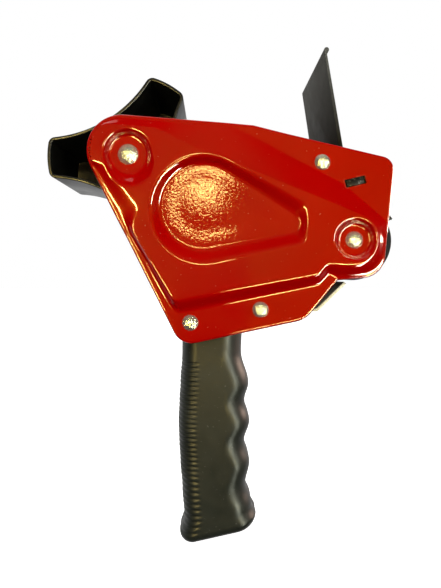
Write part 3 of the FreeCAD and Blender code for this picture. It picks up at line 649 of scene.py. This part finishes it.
# Ribs across the back, which fade out round the sides and at both ends.
RIB_PITCH = 2.3
RIB_WIDEN = 0.25
RIB_SOFTEN = 0.9
RIB_DEPTH = 0.40
RIB_TOP = -97.0
RIB_END = -182.5
RIB_FADE_X = (7.0, 9.6)
RIB_FADE_Z = 1.5
SEAM_DEPTH = 0.3
ROW = 0.3
# The yoke round its two screws, the nose that carries the guide, and the tie screw's bore.
YOKE_HALF = 26.95
YOKE_SCREWS = [(28.5, -77.3, 8.0), (60.7, -71.3, 7.999)]
NOSE = ((60.7, -26.95, -71.05), (84.0, 26.95, -64.0))
TIE_SCREW = (41.0, -175.5)
TIE_SEAT = 10.0
TIE_RADIUS = 3.7


def eased(z, column):
    """A column of GRIP_LEVELS at height z, eased from level to level."""
    heights = [-level[0] for level in GRIP_LEVELS]
    step = min(max(int(np.searchsorted(heights, -z)) - 1, 0), len(heights) - 2)
    share = (-z - heights[step]) / (heights[step + 1] - heights[step])
    share = (1 - math.cos(math.pi * min(max(share, 0.0), 1.0))) / 2
    return GRIP_LEVELS[step][column] * (1 - share) + GRIP_LEVELS[step + 1][column] * share


def grip_section(z, inset):
    """Half of a level section, back to front on the near side: x, y and outward normal."""
    back, front, hollow = (eased(z, column) for column in (1, 2, 3))
    back, front, half = back + inset, front - inset, GRIP_HALF - inset
    back_round, across = BACK_ROUND - inset, SIDE_ROUND - inset
    front_round = FRONT_ROUND + HOLLOW_ROUND * hollow - inset
    quarter = [math.pi / 2 * step / ARC_STEPS for step in range(ARC_STEPS + 1)]
    points = []
    for step in range(FACE_STEPS):
        points.append((back, -(half - across) * step / FACE_STEPS, -1.0, 0.0))
    for angle in quarter:
        points.append((back + back_round * (1 - math.cos(angle)),
                       -(half - across) - across * math.sin(angle),
                       -math.cos(angle), -math.sin(angle)))
    left, right = back + back_round, front - front_round
    for step in range(1, FLAT_STEPS):
        points.append((left + (right - left) * step / FLAT_STEPS, -half, 0.0, -1.0))
    for angle in quarter:
        points.append((right + front_round * math.sin(angle),
                       -(half - across) - across * math.cos(angle),
                       math.sin(angle), -math.cos(angle)))
    for step in range(1, FACE_STEPS):
        points.append((front, -(half - across) * (1 - step / FACE_STEPS), 1.0, 0.0))
    points.append((front, 0.0, 1.0, 0.0))
    return points


def grip_row(z, inset=0.0, drop=0.0):
    """One ring of the grip's skin, with ribs, seam and the butt's slant."""
    half = grip_section(z, inset)
    ring = half + [(x, -y, nx, -ny) for x, y, nx, ny in half[-2:0:-1]]
    back = eased(z, 1) + inset
    wave = smooth((math.cos(2 * math.pi * z / RIB_PITCH) + RIB_WIDEN) / RIB_SOFTEN)
    wave *= smooth((RIB_TOP - z) / RIB_FADE_Z) * smooth((z - RIB_END) / RIB_FADE_Z)
    slant = smooth((BUTT_START - z) / (BUTT_START - BUTT_Z)) * math.tan(math.radians(BUTT_SLOPE))
    points = []
    for x, y, nx, ny in ring:
        from_back = (x - back - RIB_FADE_X[0]) / (RIB_FADE_X[1] - RIB_FADE_X[0])
        sink = RIB_DEPTH * wave * (1 - smooth(from_back))
        if abs(y) < 0.01:
            sink = max(sink, SEAM_DEPTH)
        points.append((x - sink * nx, y - sink * ny, z + slant * (x - BUTT_X) - drop))
    return points


def grip_skin():
    """The closed skin of the grip: level rows, then rows that draw in round the butt."""
    rows = []
    z = GRIP_LEVELS[0][0]
    while z > BUTT_Z + BUTT_ROUND:
        rows.append(grip_row(z))
        z -= ROW
    last = BUTT_Z + BUTT_ROUND
    for step in range(BUTT_STEPS + 1):
        angle = math.radians(BUTT_TURN) * step / BUTT_STEPS
        rows.append(grip_row(last, BUTT_ROUND * (1 - math.cos(angle)),
                             BUTT_ROUND * math.sin(angle)))
    count = len(rows[0])
    faces = []
    for start in range(0, (len(rows) - 1) * count, count):
        for k in range(count):
            here, after = start + k, start + (k + 1) % count
            faces.append((here, here + count, after + count, after))
    faces.append(tuple(range(count)))
    faces.append(tuple(range((len(rows) - 1) * count, len(rows) * count)))
    return outward(mesh_of("grip", [point for row in rows for point in row], faces))


def prism(name, loop, y0, y1, rounding=0.0):
    """Solid between two depths over a loop of x, z points, its edges rounded."""
    count = len(loop)
    points = [(x, y0, z) for x, z in loop] + [(x, y1, z) for x, z in loop]
    faces = [tuple(range(count)), tuple(range(count, 2 * count))]
    faces += [(k, (k + 1) % count, (k + 1) % count + count, k + count) for k in range(count)]
    mesh = outward(mesh_of(name, points, faces))
    return bevelled(mesh, rounding, segments=3, sharp_degrees=40) if rounding else mesh


def combined(mesh, operation, other):
    """Boolean of two meshes."""
    holder = linked("other", other)
    result = with_modifier(mesh, "BOOLEAN", operation=operation, solver="EXACT", object=holder)
    bpy.data.objects.remove(holder)
    return result


def grip():
    """The grip's skin joined to its yoke and nose, with the tie screw's bore."""
    (x0, y0, z0), (x1, y1, z1) = NOSE
    nose = prism("nose", [(x0, z1), (x1, z1), (x1, z0), (x0, z0)], y0, y1, rounding=0.8)
    yoke = prism("yoke", hull_loop(*YOKE_SCREWS), -YOKE_HALF, YOKE_HALF, rounding=0.6)
    bore = prism("bore", circle_loop(TIE_SCREW, TIE_RADIUS, steps=40), TIE_SEAT, 2 * GRIP_HALF)
    mesh = combined(grip_skin(), "UNION", combined(yoke, "UNION", nose))
    mesh = combined(mesh, "DIFFERENCE", bore)
    add_piece("pistol_grip", mesh, ["grip_near", "grip_far"], sharp_degrees=50.0)


grip()

# ---- the cutter holder's shoulders behind its slots ----
SHOULDER = (12.0, 5.4)
SHOULDER_DEPTHS = (22.0, 26.7)

for side, name in ((-1, "holder_shoulder_near"), (1, "holder_shoulder_far")):
    depths = sorted(side * depth for depth in SHOULDER_DEPTHS)
    loop = turned(box_corners(SHOULDER), SLOT_SLOPE, SLOT_PLACE)
    block = prism(name, loop, *depths, rounding=0.4)
    add_mesh(name, block, "frame", "blackened_steel")

# ---- torsion spring: a real helix with its two legs ----
WIPER_AXIS = (100.2, -7.0)
WIPER_LEAN = 9.1
SPRING_RADIUS = 1.9
SPRING_WIRE = 0.38
SPRING_TURNS = 5
SPRING_STEPS = 24
SPRING_SHORT_LEG = 3.2
# The long leg starts with these steps of the last turn, over the coil's own wire.
LEG_STEPS = 4
LEG_WIRE = 0.39
LONG_LEG = 12.0


def wire_mesh(name, line, radius):
    """Round wire along points given as x, y, z in the leaning frame of the hinge pin."""
    lean = math.radians(WIPER_LEAN)
    curve = bpy.data.curves.new(name, "CURVE")
    curve.dimensions = "3D"
    curve.bevel_depth = radius * MM
    curve.bevel_resolution = 3
    curve.use_fill_caps = True
    spline = curve.splines.new("POLY")
    spline.points.add(len(line) - 1)
    for point, (x, y, z) in zip(spline.points, line):
        point.co = ((WIPER_AXIS[0] + x * math.cos(lean) - z * math.sin(lean)) * MM, y * MM,
                    (WIPER_AXIS[1] + x * math.sin(lean) + z * math.cos(lean)) * MM, 1)
    return evaluated(linked(name, curve))


def spring():
    """The coil stays on the frame; the long leg turns with the flap, along the last turn."""
    half = SPRING_TURNS * SPRING_WIRE
    turns = []
    steps = SPRING_STEPS * SPRING_TURNS + SPRING_STEPS // 2
    for step in range(steps + 1):
        angle = 2 * math.pi * step / SPRING_STEPS
        turns.append((SPRING_RADIUS * math.cos(angle), -half + 2 * half * step / steps,
                      SPRING_RADIUS * math.sin(angle)))
    coil = [(SPRING_RADIUS, -half, -SPRING_SHORT_LEG)] + turns
    add_piece("wiper_spring_wire", wire_mesh("coil", coil, SPRING_WIRE), ["wiper_spring"],
              sharp_degrees=60.0)
    leg = turns[-LEG_STEPS:] + [(-SPRING_RADIUS, half, LONG_LEG)]
    add_mesh("wiper_spring_leg", wire_mesh("leg", leg, LEG_WIRE), "wiper", "spring_steel")


spring()

# ---- other pieces: rounded edges on the CAD shapes ----
for node, radius in (
        ("far_plate", 0.35), ("tape_hub", 0.55), ("plate_screws", 0.25), ("hub_axle", 0.25),
        ("roller_axle", 0.25), ("tension_knob", 0.5), ("roller_sleeve", 0.6),
        ("wiper_flap", 0.3), ("tape_guide", 0.3), ("blade_holder", 0.3),
        ("plate_nuts", 0.3), ("axle_nut", 0.3)):
    softened(node, radius)

# ---- material of every CAD node that stays ----
for name, node in NODES.items():
    material = MATERIALS[SLOT_OF[name]]
    if not node.data.materials:
        node.data.materials.append(material)
    for holder in node.material_slots:
        holder.material = material

# ---- stage: a pale floor that lights nothing and shows in no reflection ----
FLOOR_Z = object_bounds()[0].z
STAGE_HALF = 4.0

pale = Shader("pale_floor").finish(
    Base_Color=(0.9, 0.9, 0.9, 1), Roughness=0.9, Specular_IOR_Level=0.1,
    Emission_Color=(1, 1, 1, 1), Emission_Strength=0.93)
floor_mesh = bpy.data.meshes.new("floor")
floor_mesh.from_pydata([(-STAGE_HALF, -STAGE_HALF, FLOOR_Z), (STAGE_HALF, -STAGE_HALF, FLOOR_Z),
                        (STAGE_HALF, STAGE_HALF, FLOOR_Z), (-STAGE_HALF, STAGE_HALF, FLOOR_Z)],
                       [], [(0, 1, 2, 3)])
floor_mesh.materials.append(pale)
floor_sheet = linked("floor", floor_mesh)
floor_sheet.visible_glossy = False
floor_sheet.visible_diffuse = False

# ---- light ----
scene = bpy.context.scene
scene.view_settings.view_transform = "Standard"
# The room is dark on the near side and pale behind the object. Seen directly, it is white.
WORLD_RAMP = {"From Min": 0.0, "From Max": 0.5, "To Min": 0.005, "To Max": 0.80}
LAMP_AIM = (0.04, -0.03, -0.03)


def studio_world():
    world = bpy.data.worlds.new("studio")
    world.use_nodes = True
    nodes, links = world.node_tree.nodes, world.node_tree.links
    split = nodes.new("ShaderNodeSeparateXYZ")
    links.new(nodes.new("ShaderNodeTexCoord").outputs["Generated"], split.inputs[0])
    ramp = nodes.new("ShaderNodeMapRange")
    for key, value in WORLD_RAMP.items():
        ramp.inputs[key].default_value = value
    links.new(split.outputs["Y"], ramp.inputs["Value"])
    choose = nodes.new("ShaderNodeMix")
    choose.data_type = "FLOAT"
    links.new(nodes.new("ShaderNodeLightPath").outputs["Is Camera Ray"], choose.inputs[0])
    links.new(ramp.outputs["Result"], choose.inputs[2])
    choose.inputs[3].default_value = 1.0
    links.new(choose.outputs[0], nodes["Background"].inputs["Color"])
    return world


scene.world = studio_world()


def area_light(name, place, size, power, colour, gloss_only=False, diffuse_only=False):
    """Rectangular soft light at a place, aimed at the object.

    A gloss_only lamp shows only in reflections, and a diffuse_only one in none."""
    lamp = bpy.data.lights.new(name, "AREA")
    lamp.shape = "RECTANGLE"
    lamp.size, lamp.size_y = size
    lamp.energy = power
    lamp.color = colour
    holder = linked(name, lamp)
    holder.location = place
    aim = Vector(LAMP_AIM) - Vector(place)
    holder.rotation_euler = aim.to_track_quat("-Z", "Y").to_euler()
    holder.visible_camera = False
    holder.visible_diffuse = not gloss_only
    holder.visible_glossy = not diffuse_only


WARM = (1.0, 0.75, 0.22)
LAMP_Y = -0.60
area_light("key", (0.025, LAMP_Y, 0.094), (0.04, 0.04), 0.22, WARM, gloss_only=True)
area_light("low_strip", (0.27, LAMP_Y, -0.215), (0.38, 0.05), 4.2, WARM, gloss_only=True)
area_light("left_strip", (-0.20, LAMP_Y, -0.06), (0.05, 0.26), 3.8, WARM, gloss_only=True)
area_light("window", (0.75, -0.40, -0.12), (0.25, 0.6), 3.0, (0.97, 1.0, 0.86),
           diffuse_only=True)
area_light("side_glow", (0.45, -0.52, -0.25), (0.10, 0.60), 10.0, (0.97, 1.0, 0.82),
           gloss_only=True)
area_light("window_glow", (0.78, 0.17, 0.10), (0.4, 0.25), 8.0, (1.0, 0.70, 0.56),
           gloss_only=True)
area_light("warm_wall", (0.42, -0.90, 0.0), (0.62, 0.7), 0.55, (1.0, 0.34, 0.0),
           gloss_only=True)
area_light("fill", (-0.10, -0.95, 0.30), (0.9, 0.9), 10.0, (1.0, 0.99, 0.96),
           diffuse_only=True)
area_light("overhead", (0.0, 0.1, 0.9), (0.9, 0.9), 3.0, (1.0, 0.98, 0.95))

# ---- camera ----
camera_data = bpy.data.cameras.new("camera")
camera_data.lens = 27.37
camera_data.sensor_width = 36.0
camera_data.clip_start = 0.01
camera_data.clip_end = 20.0
camera_data.shift_x = 0.0145
camera_data.shift_y = -0.0323
camera = linked("camera", camera_data)
camera.location = (0.0385, -0.2332, -0.0554)
camera.rotation_euler = (math.radians(90), 0, 0)
scene.camera = camera
